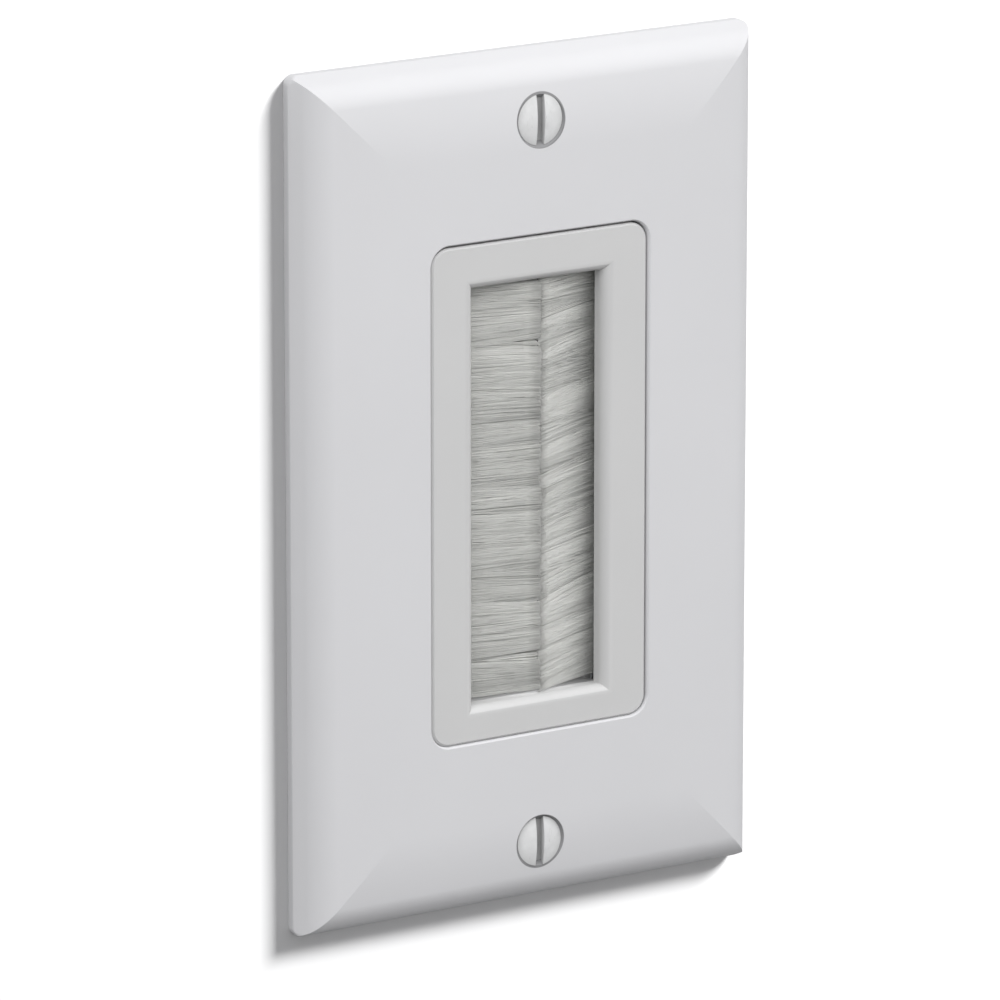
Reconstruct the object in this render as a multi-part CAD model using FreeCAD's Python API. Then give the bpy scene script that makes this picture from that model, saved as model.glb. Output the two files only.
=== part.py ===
# Brush cable pass-through wall plate, single gang, in millimetres.
# +X is the viewer's right, +Y runs into the wall, +Z is up.
# The origin is the middle of the plate on the wall surface, which is the plane of the plate's back rim.
import FreeCAD, Part
import math
import os

# Wall plate
plate_width = 69.85
plate_height = 114.3
plate_depth = 6.3            # wall surface to the flat front
plate_edge = 1.2             # straight side wall below the crowned edge
plate_wall = 2.0
corner_radius = 1.3          # outline corners
crown_width = 12.5           # flat front to outline
crown_shoulder_angle = 9.0   # degrees, slope where the wide shoulder ends
crown_edge_angle = 65.0      # degrees, slope where the crown meets the side wall
crown_edge_radius = 4.5      # tight arc between those two slopes
rim_round = 0.8
opening_width = 33.3
opening_height = 66.8
opening_corner = 2.7
opening_round = 0.5
collar_wall = 1.2            # rib around the opening, on the back
collar_clearance = 0.4
boss_clearance = 0.3         # screw bosses on the back, to the heads of the box screws

# Screws, number six with 32 turns to the inch
plate_screw_spacing = 96.84
box_screw_spacing = 83.34
thread_radius = 1.7525
neck_radius = 1.5
tapped_clearance = 0.05
hole_clearance = 0.25
seat_clearance = 0.03
plate_screw_length = 13.0    # head rim to tip
plate_head_radius = 3.4
plate_head_dome = 0.4
plate_head_sink = 0.4        # head rim below the plate's front
countersink_half_angle = 41.0
countersink_gap = 0.25
slot_width = 1.15
slot_depth = 1.05
tip_chamfer = 0.5
box_screw_length = 22.0      # strap's front to tip
box_head_radius = 3.0
box_head_height = 1.5
box_slot_depth = 0.8
washer_radius = 4.2
washer_thickness = 0.8
washer_bore_clearance = 0.1
washer_end_gap = 0.2         # washer to the first turn of thread

# Brush insert
insert_gap = 0.16            # all round, inside the plate's opening
insert_drop = 0.1            # the insert rests low in the opening
insert_recess = 0.3          # insert face behind the plate's front
insert_bevel = 0.3
bezel_side = 6.5             # rim of the insert beside the window
bezel_end = 5.34             # mean rim above and below the window
window_drop = 0.7            # the window sits a little low in the insert
window_round = 1.4
reveal_depth = 2.5           # insert face to the brush seats
housing_wall = 1.1
housing_lip = 0.6            # housing rim behind the retainer
strap_width = 24.0
strap_thickness = 1.5
strap_corner = 6.0
strap_end = 3.6              # strap beyond the plate screws
strap_slot_length = 7.5

# Brush strips
brush_tilt = 12.0            # degrees, tips towards the room
mouth_setback = 2.0          # window wall to the channel's mouth
channel_width = 3.0
channel_wall = 0.5
lip_length = 0.6
lip_crimp = 0.3
strip_overlap = 0.6          # channel beyond each end of the window
strip_clearance = 0.05
wire_radius = 0.45
bristle_thickness = 1.6
bristle_end_gap = 0.3
bristle_base = 1.2           # solid length outside the channel
tuft_pitch = 1.1
tuft_root_width = 1.02
tuft_tip_width = 0.76
tuft_split = 0.03            # half gap between the two rows of tufts
tuft_tip_share = 0.7         # tip thickness as a share of the root's
tuft_ragged = 0.6            # spread of the tufts' lengths
tuft_lean = 0.3              # spread of the tips along the strip
tuft_long_wave = 2.3         # radians from tuft to tuft in the waves that vary length and lean
tuft_short_wave = 5.7
tuft_lean_wave = 3.1
tip_reach = 1.0              # left tips end this far right of the middle
tip_gap = 0.2                # left tips to right tips

# Retainer and its stakes
retainer_thickness = 1.6
retainer_margin = 3.3        # retainer beyond the strips, above and below
retainer_clearance = 0.1
retainer_corner = 1.0
retainer_window_relief = 0.6
stake_radius = 0.9
stake_head_radius = 1.6
stake_crest_radius = 1.0     # flat on top of the formed head
stake_head_height = 0.7
stake_inset = 2.6            # from the retainer's side edge

touch = 1e-3                 # edges nearer to a plane than this lie on it

# Places worked out from the sizes above
insert_width = opening_width - 2 * insert_gap
insert_height = opening_height - 2 * insert_gap
insert_corner = opening_corner - insert_gap
insert_face = insert_recess - plate_depth
window_width = insert_width - 2 * bezel_side
window_height = insert_height - 2 * bezel_end
window_middle = -window_drop
strap_half = plate_screw_spacing / 2 + strap_end
tilt = math.radians(brush_tilt)
cavity_half = insert_width / 2 - housing_wall
strip_length = window_height + 2 * strip_overlap
bristle_length = window_height - 2 * bristle_end_gap
seat_x = window_width / 2
seat_y = insert_face + reveal_depth
lip_x = seat_x + mouth_setback
lip_y = seat_y + mouth_setback * math.tan(tilt)
mouth_x = lip_x - channel_width / 2 * math.sin(tilt)
mouth_y = lip_y + channel_width / 2 * math.cos(tilt)
channel_depth = (cavity_half - strip_clearance - lip_x) / math.cos(tilt)
flank_x = lip_x + channel_depth * math.cos(tilt) - channel_width * math.sin(tilt)
flank_y = lip_y + channel_depth * math.sin(tilt) + channel_width * math.cos(tilt)
retainer_front = flank_y + retainer_clearance
retainer_back = retainer_front + retainer_thickness
retainer_width = 2 * (cavity_half - retainer_clearance)
retainer_height = strip_length + 2 * retainer_margin
stake_x = retainer_width / 2 - stake_inset
stake_z = strip_length / 2 + retainer_margin / 2
head_rim = plate_head_sink - plate_depth
boss_radius = (plate_screw_spacing - box_screw_spacing) / 2 - box_head_radius - boss_clearance
plate_screw_places = [-plate_screw_spacing / 2, plate_screw_spacing / 2]
box_screw_places = [-box_screw_spacing / 2, box_screw_spacing / 2]
into_wall = FreeCAD.Vector(0, 1, 0)
up = FreeCAD.Vector(0, 0, 1)


def vector(x, y, z):
    return FreeCAD.Vector(x, y, z)


def slab(width, height, corner, front, back, middle=0.0):
    """Plate with round outline corners, between two depths."""
    x, z = width / 2, height / 2
    diagonal = corner * (1 - math.sqrt(0.5))
    edges = []
    for turn in range(4):
        flip_x = 1 if turn in (0, 3) else -1
        flip_z = 1 if turn in (0, 1) else -1
        on_side = vector(flip_x * x, front, middle + flip_z * (z - corner))
        on_end = vector(flip_x * (x - corner), front, middle + flip_z * z)
        bulge = vector(flip_x * (x - diagonal), front, middle + flip_z * (z - diagonal))
        ends = (on_side, on_end) if flip_x == flip_z else (on_end, on_side)
        edges.append((ends[0], bulge, ends[1]))
    outline = []
    for turn in range(4):
        start, bulge, end = edges[turn]
        outline.append(Part.Arc(start, bulge, end).toShape())
        outline.append(Part.makeLine(end, edges[(turn + 1) % 4][0]))
    return Part.Face(Part.Wire(outline)).extrude(into_wall * (back - front))


def block(width, height, front, back, middle=0.0):
    """Square-cornered plate between two depths."""
    return Part.makeBox(width, back - front, height, vector(-width / 2, front, middle - height / 2))


def pin(radius, front, back, x=0.0, z=0.0):
    """Round bar along the depth."""
    return Part.makeCylinder(radius, back - front, vector(x, front, z), into_wall)


def dome(radius, height, base, x=0.0, z=0.0):
    """Cap of a ball on a flat base, towards the room."""
    ball = (radius ** 2 + height ** 2) / (2 * height)
    latitude = math.degrees(math.asin((ball - height) / ball))
    centre = vector(x, base + ball - height, z)
    return Part.makeSphere(ball, centre, into_wall * -1, latitude, 90, 360)


def polygon_face(corners):
    return Part.Face(Part.makePolygon(corners + corners[:1]))


def prism(points, low, high):
    """Outline in X and Y, drawn out along Z."""
    return polygon_face([vector(x, y, low) for x, y in points]).extrude(up * (high - low))


def crown_section(half, inset):
    """Half section of the plate's edge. A wide shoulder arc, a tight arc and a straight band, each tangent to
    the next, fall from the flat front to the side wall. The shoulder's radius and the band's length are the
    two unknowns, found from the crown's width and drop."""
    bend = math.radians(crown_shoulder_angle)
    slope = math.radians(crown_edge_angle)
    arc_width = crown_edge_radius * (math.sin(slope) - math.sin(bend))
    arc_drop = crown_edge_radius * (math.cos(bend) - math.cos(slope))
    run = crown_width - arc_width
    fall = plate_depth - plate_edge - arc_drop
    cross = math.sin(bend) * math.sin(slope) - math.cos(slope) * (1 - math.cos(bend))
    shoulder = (run * math.sin(slope) - fall * math.cos(slope)) / cross
    band = (fall * math.sin(bend) - run * (1 - math.cos(bend))) / cross
    width = crown_width - band * math.cos(slope)
    drop = plate_depth - plate_edge - band * math.sin(slope)

    def place(across, depth):
        return vector(half - crown_width + across, inset - plate_depth + depth, 0)

    def on_arc(angle):
        if angle <= bend:
            return place(shoulder * math.sin(angle), shoulder * (1 - math.cos(angle)))
        across = width - crown_edge_radius * (math.sin(slope) - math.sin(angle))
        return place(across, drop - crown_edge_radius * (math.cos(angle) - math.cos(slope)))

    rear = plate_depth
    side_top = place(crown_width, plate_depth - plate_edge)
    corners = [on_arc(slope), side_top, vector(half, rear, 0), vector(half - crown_width, rear, 0), on_arc(0)]
    return [
        Part.Arc(on_arc(0), on_arc(bend / 2), on_arc(bend)).toShape(),
        Part.Arc(on_arc(bend), on_arc((bend + slope) / 2), on_arc(slope)).toShape(),
        *[Part.makeLine(corners[i], corners[i + 1]) for i in range(4)],
    ]


def crowned_side(half, half_along, inset):
    """The +X side of a crowned form, cut at its ends by the mitre planes."""
    section = Part.Face(Part.Wire(crown_section(half, inset)))
    section.translate(up * -half_along)
    bar = section.extrude(up * 2 * half_along)
    inner, inner_along = half - crown_width, half_along - crown_width
    outline = [(half, half_along), (inner, inner_along), (inner, -inner_along), (half, -half_along)]
    mitre = polygon_face([vector(x, -2 * plate_depth, z) for x, z in outline])
    return bar.common(mitre.extrude(into_wall * 4 * plate_depth))


def crowned_form(inset):
    """The plate's outer form, or the hollow inside it for an inset of one wall: a flat middle and four
    crowned sides that meet in mitres."""
    half_x = plate_width / 2 - inset
    half_z = plate_height / 2 - inset
    flat_x, flat_z = 2 * (half_x - crown_width), 2 * (half_z - crown_width)
    middle = block(flat_x, flat_z, inset - plate_depth, plate_depth)
    centre = vector(0, 0, 0)
    sides = []
    for quarter in range(4):
        halves = (half_z, half_x) if quarter % 2 else (half_x, half_z)
        side = crowned_side(halves[0], halves[1], inset)
        side.rotate(centre, into_wall, -90 * quarter)
        sides.append(side)
    return middle.multiFuse(sides).removeSplitter()


def on_plate_rim(edge):
    """True for the edges where the crown meets the plate's side walls."""
    box = edge.BoundBox
    return box.YMax < -plate_edge / 2 and box.YMax > -plate_edge - touch


def make_wall_plate():
    outline = slab(plate_width, plate_height, corner_radius, -2 * plate_depth, 0)
    skin = crowned_form(0).common(outline)
    skin = skin.makeFillet(rim_round, [edge for edge in skin.Edges if on_plate_rim(edge)])
    inner_face = plate_wall - plate_depth
    plate = skin.cut(crowned_form(plate_wall)).cut(strap_room())
    collar = slab(
        opening_width + 2 * collar_wall,
        opening_height + 2 * collar_wall,
        opening_corner + collar_wall,
        inner_face - plate_wall / 2,
        -strap_thickness - collar_clearance,
    )
    plate = plate.fuse(collar)
    for z in plate_screw_places:
        plate = plate.fuse(pin(boss_radius, -plate_depth, -strap_thickness, 0, z).common(skin))
    opening = slab(opening_width, opening_height, opening_corner, -2 * plate_depth, plate_depth)
    plate = plate.cut(opening)
    hole = thread_radius + hole_clearance
    for z in plate_screw_places:
        plate = plate.cut(pin(hole, -2 * plate_depth, plate_depth, 0, z)).cut(countersink(z))
    plate = plate.removeSplitter()
    rim = [edge for edge in plate.Edges if on_opening_rim(edge)]
    return plate.makeFillet(opening_round, rim)


def strap_room():
    """Space for the insert's strap, which a shorter plate has to leave free in its rim."""
    return slab(
        strap_width + 2 * collar_clearance,
        2 * (strap_half + collar_clearance),
        strap_corner + collar_clearance,
        -strap_thickness - collar_clearance,
        plate_depth,
    )


def on_opening_rim(edge):
    """True for the front edges of the plate's opening."""
    box = edge.BoundBox
    near_front = abs(box.YMin + plate_depth) < touch and box.YLength < touch
    inside = box.XMax < opening_width / 2 + touch and box.XMin > -opening_width / 2 - touch
    return near_front and inside and abs(box.ZMax) < opening_height / 2 + touch


def countersink(z):
    """Cone and counterbore that take the head of a plate screw."""
    wide = plate_head_radius + countersink_gap
    slope = math.tan(math.radians(countersink_half_angle))
    rim = head_rim + seat_clearance - countersink_gap / slope
    depth = (wide - thread_radius) / slope
    cone = Part.makeCone(wide, thread_radius, depth, vector(0, rim, z), into_wall)
    return cone.fuse(pin(wide, -2 * plate_depth, rim, 0, z))


def make_plate_screws():
    slope = math.tan(math.radians(countersink_half_angle))
    cone_depth = (plate_head_radius - thread_radius) / slope
    tip = head_rim + plate_screw_length
    screws = []
    for z in plate_screw_places:
        cap = dome(plate_head_radius, plate_head_dome, head_rim, 0, z)
        rim = vector(0, head_rim, z)
        cone = Part.makeCone(plate_head_radius, thread_radius, cone_depth, rim, into_wall)
        shank = threaded_shank(head_rim + cone_depth, tip, z)
        top = head_rim - plate_head_dome
        slot = block(slot_width, 3 * plate_head_radius, top - plate_head_dome, top + slot_depth, z)
        screws.append(cap.fuse(cone).fuse(shank).cut(slot).removeSplitter())
    return Part.makeCompound(screws)


def threaded_shank(start, tip, z):
    """Bar at the thread's outer size, with a chamfered tip."""
    straight = pin(thread_radius, start, tip - tip_chamfer, 0, z)
    point = vector(0, tip - tip_chamfer, z)
    end = Part.makeCone(thread_radius, thread_radius - tip_chamfer, tip_chamfer, point, into_wall)
    return straight.fuse(end)


def make_box_screws():
    face = -strap_thickness
    thread_start = washer_thickness + washer_end_gap
    tip = face + box_screw_length
    screws = []
    for z in box_screw_places:
        head = pin(box_head_radius, face - box_head_height, face, 0, z)
        neck = pin(neck_radius, face, thread_start, 0, z)
        shank = threaded_shank(thread_start, tip, z)
        top = face - box_head_height
        slot = block(slot_width, 3 * box_head_radius, top - box_slot_depth, top + box_slot_depth, z)
        screws.append(head.cut(slot).fuse(neck).fuse(shank).removeSplitter())
    return Part.makeCompound(screws)


def make_screw_washers():
    bore = neck_radius + washer_bore_clearance
    washers = []
    for z in box_screw_places:
        disc = pin(washer_radius, 0, washer_thickness, 0, z)
        washers.append(disc.cut(pin(bore, 0, washer_thickness, 0, z)))
    return Part.makeCompound(washers)


def make_brush_insert():
    housing_back = retainer_back + housing_lip
    body = slab(insert_width, insert_height, insert_corner, insert_face, housing_back, -insert_drop)
    front_rim = [edge for edge in body.Edges if edge.BoundBox.YMax < insert_face + touch]
    body = body.makeChamfer(insert_bevel, front_rim)
    body = body.fuse(slab(strap_width, 2 * strap_half, strap_corner, -strap_thickness, 0))
    body = body.cut(block(window_width, window_height, 2 * insert_face, housing_back, window_middle))
    half = strip_length / 2 + strip_clearance
    side_y = seat_y + (cavity_half - seat_x) * math.tan(tilt)
    beyond = housing_back + housing_lip
    cavity = [
        (-cavity_half, beyond),
        (-cavity_half, side_y),
        (-seat_x, seat_y),
        (seat_x, seat_y),
        (cavity_half, side_y),
        (cavity_half, beyond),
    ]
    body = body.cut(prism(cavity, window_middle - half, window_middle + half))
    step_height = retainer_height + 2 * retainer_clearance
    body = body.cut(block(2 * cavity_half, step_height, retainer_front, beyond, window_middle))
    for z in plate_screw_places:
        body = body.cut(pin(thread_radius + tapped_clearance, -plate_depth, plate_depth, 0, z))
    for z in box_screw_places:
        body = body.cut(strap_slot(z))
    for x, z in stake_places():
        body = body.fuse(pin(stake_radius, retainer_front, retainer_back, x, z))
        foot = vector(x, retainer_back, z)
        head = Part.makeCone(stake_head_radius, stake_crest_radius, stake_head_height, foot, into_wall)
        body = body.fuse(head)
    body = body.removeSplitter()
    rim = [edge for edge in body.Edges if on_window_rim(edge)]
    return body.makeFillet(window_round, rim)


def strap_slot(z):
    """Level slot in the strap, which lets the insert be set upright on the box."""
    radius = thread_radius + hole_clearance
    reach = strap_slot_length / 2 - radius
    slot = block(2 * reach, 2 * radius, -plate_depth, plate_depth, z)
    for x in (-reach, reach):
        slot = slot.fuse(pin(radius, -plate_depth, plate_depth, x, z))
    return slot.removeSplitter()


def stake_places():
    """Middles of the four stakes that hold the retainer."""
    return [(x, window_middle + z) for x in (-stake_x, stake_x) for z in (-stake_z, stake_z)]


def on_window_rim(edge):
    """True for the front edges of the insert's window."""
    box = edge.BoundBox
    near_face = abs(box.YMin - insert_face) < touch and box.YLength < touch
    across = max(abs(box.XMin), abs(box.XMax)) < window_width / 2 + touch
    along = max(abs(box.ZMin - window_middle), abs(box.ZMax - window_middle)) < window_height / 2 + touch
    return near_face and across and along


def make_rear_retainer():
    depths = (retainer_front, retainer_back)
    frame = slab(retainer_width, retainer_height, retainer_corner, *depths, window_middle)
    ramp_x = seat_x + retainer_window_relief
    ramp_y = flank_y - (flank_x - ramp_x) * math.tan(tilt)
    for side in (-1, 1):
        ramp = [
            (side * ramp_x, retainer_front),
            (side * ramp_x, ramp_y),
            (side * flank_x, flank_y),
            (side * flank_x, retainer_front),
        ]
        low = window_middle - strip_length / 2
        frame = frame.fuse(prism(ramp, low, low + strip_length))
    frame = frame.cut(block(2 * ramp_x, window_height, -plate_depth, 2 * retainer_back, window_middle))
    for x, z in stake_places():
        frame = frame.cut(pin(stake_radius + tapped_clearance, -plate_depth, 2 * retainer_back, x, z))
    return frame.removeSplitter()


def set_strip(shape, side):
    """Moves a strip piece from its own axes, with the tips along +X and the front along +Y, to its seat."""
    shape.rotate(vector(0, 0, 0), up, 180 + brush_tilt)
    shape.translate(vector(mouth_x, mouth_y, window_middle))
    if side < 0:
        shape = shape.mirror(vector(0, 0, 0), vector(1, 0, 0))
    return shape


def make_channel(side):
    outer = channel_width / 2
    inner = outer - channel_wall
    lip = bristle_thickness / 2
    upper = [
        (-channel_depth, outer),
        (-lip_length, outer),
        (0, outer - lip_crimp),
        (0, lip),
        (-lip_length, inner),
        (channel_wall - channel_depth, inner),
    ]
    lower = [(along, -across) for along, across in reversed(upper)]
    return set_strip(prism(upper + lower, -strip_length / 2, strip_length / 2), side)


def wire_middle():
    """Place of the core wire along the strip's depth."""
    return channel_wall - channel_depth + 2 * wire_radius


def make_core_wire(side):
    start = vector(wire_middle(), 0, -strip_length / 2)
    return set_strip(Part.makeCylinder(wire_radius, strip_length, start, up), side)


def make_bristles(side, reach):
    inner = channel_width / 2 - channel_wall
    lip = bristle_thickness / 2
    upper = [(channel_wall - channel_depth, inner), (-lip_length, inner), (0, lip), (bristle_base, lip)]
    lower = [(along, -across) for along, across in reversed(upper)]
    low = -bristle_length / 2
    root = prism(upper + lower, low, -low)
    root = root.cut(Part.makeCylinder(wire_radius, bristle_length, vector(wire_middle(), 0, low), up))
    free_length = (mouth_x + reach) / math.cos(tilt)
    count = int(bristle_length // tuft_pitch) - 1
    first = -(count - 1) * tuft_pitch / 2
    tufts = []
    for row in (-1, 1):
        start = first + row * tuft_pitch / 4
        for number in range(count):
            tufts.append(make_tuft(number, row, start + number * tuft_pitch, free_length))
    return set_strip(root.multiFuse(tufts), side)


def make_tuft(number, row, middle, free_length):
    """One tapered bundle. Its length and lean vary with its number, so that the tips end raggedly."""
    wave = math.sin(tuft_long_wave * number + row) + math.sin(tuft_short_wave * number)
    lean = tuft_lean * math.sin(tuft_lean_wave * number + 2 * row)
    tip = free_length - tuft_ragged * (2 + wave) / 4
    near = tuft_split
    far = bristle_thickness / 2
    tip_far = near + (far - near) * tuft_tip_share
    start = tuft_outline(bristle_base, row * near, row * far, middle, tuft_root_width)
    end = tuft_outline(tip, row * near, row * tip_far, middle + lean, tuft_tip_width)
    faces = [polygon_face(start), polygon_face(end)]
    for here in range(4):
        after = (here + 1) % 4
        faces.append(polygon_face([start[here], start[after], end[after], end[here]]))
    shell = Part.makeShell(faces)
    shell.sewShape()
    return Part.makeSolid(shell)


def tuft_outline(along, near, far, middle, width):
    """Corners of the rectangle across a tuft."""
    low, high = middle - width / 2, middle + width / 2
    return [vector(along, across, z) for across, z in ((near, low), (far, low), (far, high), (near, high))]


nodes = {
    "wall_plate": make_wall_plate(),
    "plate_screws": make_plate_screws(),
    "box_screws": make_box_screws(),
    "screw_washers": make_screw_washers(),
    "brush_insert": make_brush_insert(),
    "rear_retainer": make_rear_retainer(),
    "left_brush_channel": make_channel(-1),
    "right_brush_channel": make_channel(1),
    "left_core_wire": make_core_wire(-1),
    "right_core_wire": make_core_wire(1),
    "left_bristles": make_bristles(-1, tip_reach),
    "right_bristles": make_bristles(1, -tip_reach - tip_gap),
}

os.makedirs("parts", exist_ok=True)
for name, shape in nodes.items():
    shape.exportStep("parts/" + name + ".step")
    print(name, shape.isValid(), len(shape.Solids), round(shape.Volume, 2))
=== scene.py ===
import math
import random

import bpy
import numpy as np
from mathutils import Matrix, Vector


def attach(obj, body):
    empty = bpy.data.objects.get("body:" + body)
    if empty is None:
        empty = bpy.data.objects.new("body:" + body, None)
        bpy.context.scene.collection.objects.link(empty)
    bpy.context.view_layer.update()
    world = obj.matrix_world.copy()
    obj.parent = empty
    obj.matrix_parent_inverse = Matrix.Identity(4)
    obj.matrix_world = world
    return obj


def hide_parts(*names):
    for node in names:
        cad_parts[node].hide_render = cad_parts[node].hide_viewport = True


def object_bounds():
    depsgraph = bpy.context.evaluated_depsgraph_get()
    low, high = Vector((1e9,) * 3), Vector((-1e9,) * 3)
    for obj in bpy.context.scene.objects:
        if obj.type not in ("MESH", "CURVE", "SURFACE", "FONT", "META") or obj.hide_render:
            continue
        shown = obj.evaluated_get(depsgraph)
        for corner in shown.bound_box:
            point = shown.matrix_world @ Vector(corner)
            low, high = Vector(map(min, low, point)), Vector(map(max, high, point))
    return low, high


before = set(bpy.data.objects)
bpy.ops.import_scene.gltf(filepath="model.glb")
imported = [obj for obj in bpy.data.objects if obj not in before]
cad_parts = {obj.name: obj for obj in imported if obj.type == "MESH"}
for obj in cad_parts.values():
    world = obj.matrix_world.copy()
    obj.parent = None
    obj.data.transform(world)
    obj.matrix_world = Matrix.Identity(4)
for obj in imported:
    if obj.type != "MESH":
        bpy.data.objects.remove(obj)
cadBox = [list(corner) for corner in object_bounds()]      # the CAD box, before anything is added
mm = 0.001
print("frame loaded:", len(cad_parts), "nodes")


# Small helpers for the selection, the modes and the modifiers

def deselectAll():
    if bpy.context.object and bpy.context.object.mode != "OBJECT":
        bpy.ops.object.mode_set(mode="OBJECT")
    bpy.ops.object.select_all(action="DESELECT")


def makeActive(piece):
    deselectAll()
    piece.select_set(True)
    bpy.context.view_layer.objects.active = piece


def editMode(selectBy="VERT"):
    bpy.ops.object.mode_set(mode="EDIT")
    bpy.ops.mesh.select_mode(type=selectBy)
    bpy.ops.mesh.select_all(action="DESELECT")


def objectMode():
    bpy.ops.object.mode_set(mode="OBJECT")


def applyModifier(piece, kind, settings):
    makeActive(piece)
    modifier = piece.modifiers.new(kind.title(), kind)
    for key, value in settings.items():
        setattr(modifier, key, value)
    bpy.ops.object.modifier_apply(modifier=modifier.name)


def pickVerts(piece, test):                            # selects the points that pass a test
    objectMode()
    for vert in piece.data.vertices:
        vert.select = bool(test(vert.co))
    bpy.ops.object.mode_set(mode="EDIT")


def joinPieces(pieces, name):
    deselectAll()
    for piece in pieces:
        piece.select_set(True)
    bpy.context.view_layer.objects.active = pieces[0]
    bpy.ops.object.join()
    pieces[0].name = name
    pieces[0].data.name = name
    return pieces[0]


def copyOf(piece, shift):
    twin = bpy.data.objects.new(piece.name, piece.data.copy())
    bpy.context.collection.objects.link(twin)
    twin.data.transform(Matrix.Translation(shift))
    return twin


def weighNormals(piece, angle):                        # big faces lead, and sharp edges stay sharp
    makeActive(piece)
    bpy.ops.object.shade_smooth()
    mesh = piece.data
    limit = math.cos(math.radians(angle))
    around = [[] for vert in mesh.vertices]
    for face in mesh.polygons:
        for index in face.vertices:
            around[index].append((face.normal.copy(), face.area))
    normals = [None] * len(mesh.loops)
    for face in mesh.polygons:
        for loop, index in zip(face.loop_indices, face.vertices):
            near = [normal * area for normal, area in around[index] if normal.dot(face.normal) > limit]
            normals[loop] = sum(near, Vector()).normalized() if near else face.normal
    return normals


def dress(piece, material, nodeName=None):   # finish, body and CAD node of a piece
    piece.data.materials.clear()
    piece.data.materials.append(material)
    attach(piece, "root")
    if nodeName:
        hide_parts(nodeName)


# Finishes, with noise on Object coordinates, scales per metre

def newFinish(name):
    material = bpy.data.materials.new(name)
    material.use_nodes = True
    tree = material.node_tree
    return material, tree.nodes, tree.links, tree.nodes["Principled BSDF"]


def addNoise(nodes, links, scale, detail, stretch=(1, 1, 1)):
    place = nodes.new("ShaderNodeTexCoord")
    turn = nodes.new("ShaderNodeMapping")
    turn.inputs["Scale"].default_value = stretch
    noise = nodes.new("ShaderNodeTexNoise")
    noise.inputs["Scale"].default_value = scale
    noise.inputs["Detail"].default_value = detail
    links.new(place.outputs["Object"], turn.inputs["Vector"])
    links.new(turn.outputs["Vector"], noise.inputs["Vector"])
    return noise.outputs["Fac"]


def addRamp(nodes, links, source, stops):
    ramp = nodes.new("ShaderNodeValToRGB")
    elements = ramp.color_ramp.elements
    while len(elements) < len(stops):
        elements.new(0.5)
    for element, (position, colour) in zip(elements, stops):
        element.position = position
        element.color = (*colour, 1)
    links.new(source, ramp.inputs["Fac"])
    return ramp.outputs["Color"]


def addRange(nodes, links, source, low, high, spread=(0.3, 0.7)):
    span = nodes.new("ShaderNodeMapRange")
    span.inputs["From Min"].default_value = spread[0]
    span.inputs["From Max"].default_value = spread[1]
    span.inputs["To Min"].default_value = low
    span.inputs["To Max"].default_value = high
    links.new(source, span.inputs["Value"])
    return span.outputs["Result"]


def addBump(nodes, links, source, strength, depth, under=None):
    bump = nodes.new("ShaderNodeBump")
    bump.inputs["Strength"].default_value = strength
    bump.inputs["Distance"].default_value = depth
    links.new(source, bump.inputs["Height"])
    if under:
        links.new(under, bump.inputs["Normal"])
    return bump.outputs["Normal"]


def addScale(nodes, links, colour, factor):            # darkens a colour
    scale = nodes.new("ShaderNodeVectorMath")
    scale.operation = "SCALE"
    links.new(colour, scale.inputs[0])
    links.new(factor, scale.inputs["Scale"])
    return scale.outputs["Vector"]


def addRingShade(nodes, links, look):                  # painted shade round a plate screw, by the distance from its axis
    place = nodes.new("ShaderNodeTexCoord")
    split = nodes.new("ShaderNodeSeparateXYZ")
    rise = nodes.new("ShaderNodeMath")
    rise.operation = "ABSOLUTE"
    away = nodes.new("ShaderNodeMath")
    away.operation = "SUBTRACT"
    away.inputs[1].default_value = look["spacing"] / 2 * mm
    flat = nodes.new("ShaderNodeCombineXYZ")
    reach = nodes.new("ShaderNodeVectorMath")
    reach.operation = "LENGTH"
    links.new(place.outputs["Object"], split.inputs["Vector"])
    links.new(split.outputs["Z"], rise.inputs[0])
    links.new(rise.outputs["Value"], away.inputs[0])
    links.new(split.outputs["X"], flat.inputs["X"])
    links.new(away.outputs["Value"], flat.inputs["Y"])
    links.new(flat.outputs["Vector"], reach.inputs[0])
    spread = (look["shadeFullAt"] * mm, look["shadeNoneAt"] * mm)
    return addRange(nodes, links, reach.outputs["Value"], look["share"], 1, spread), split.outputs["Y"]


def tint(colour, share):
    return tuple(min(1.0, channel * share) for channel in colour)


plastic = {
    "cloudDetail": 3, "grainDetail": 4, "peelDetail": 2, "darkAt": 0.3, "paleAt": 0.7,
    "roughSpread": 0.02, "peelStrength": 0.35, "grainStrength": 0.3, "refraction": 1.5,
}


def mouldedPlastic(name, look):
    material, nodes, links, shader = newFinish(name)
    cloud = addNoise(nodes, links, look["cloudScale"], plastic["cloudDetail"])     # drift of the pigment
    grain = addNoise(nodes, links, look["grainScale"], plastic["grainDetail"])     # tool texture
    peel = addNoise(nodes, links, look["peelScale"], plastic["peelDetail"])        # shallow moulding ripple
    colour, drift = look["colour"], look["drift"]
    stops = [(plastic["darkAt"], tint(colour, 1 - drift)), (plastic["paleAt"], tint(colour, 1 + drift))]
    paint = addRamp(nodes, links, cloud, stops)
    if "ringShade" in look:
        # painted shade in the countersinks round the plate screws
        paint = addScale(nodes, links, paint, addRingShade(nodes, links, look["ringShade"])[0])
    links.new(paint, shader.inputs["Base Color"])
    spread = plastic["roughSpread"]
    rough = addRange(nodes, links, grain, look["rough"] - spread, look["rough"] + spread)
    links.new(rough, shader.inputs["Roughness"])
    ripple = addBump(nodes, links, peel, plastic["peelStrength"], look["peelDepth"])
    skin = addBump(nodes, links, grain, plastic["grainStrength"], look["grainDepth"], ripple)
    links.new(skin, shader.inputs["Normal"])
    shader.inputs["IOR"].default_value = plastic["refraction"]
    shader.inputs["Specular IOR Level"].default_value = look["gloss"]
    return material


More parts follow.
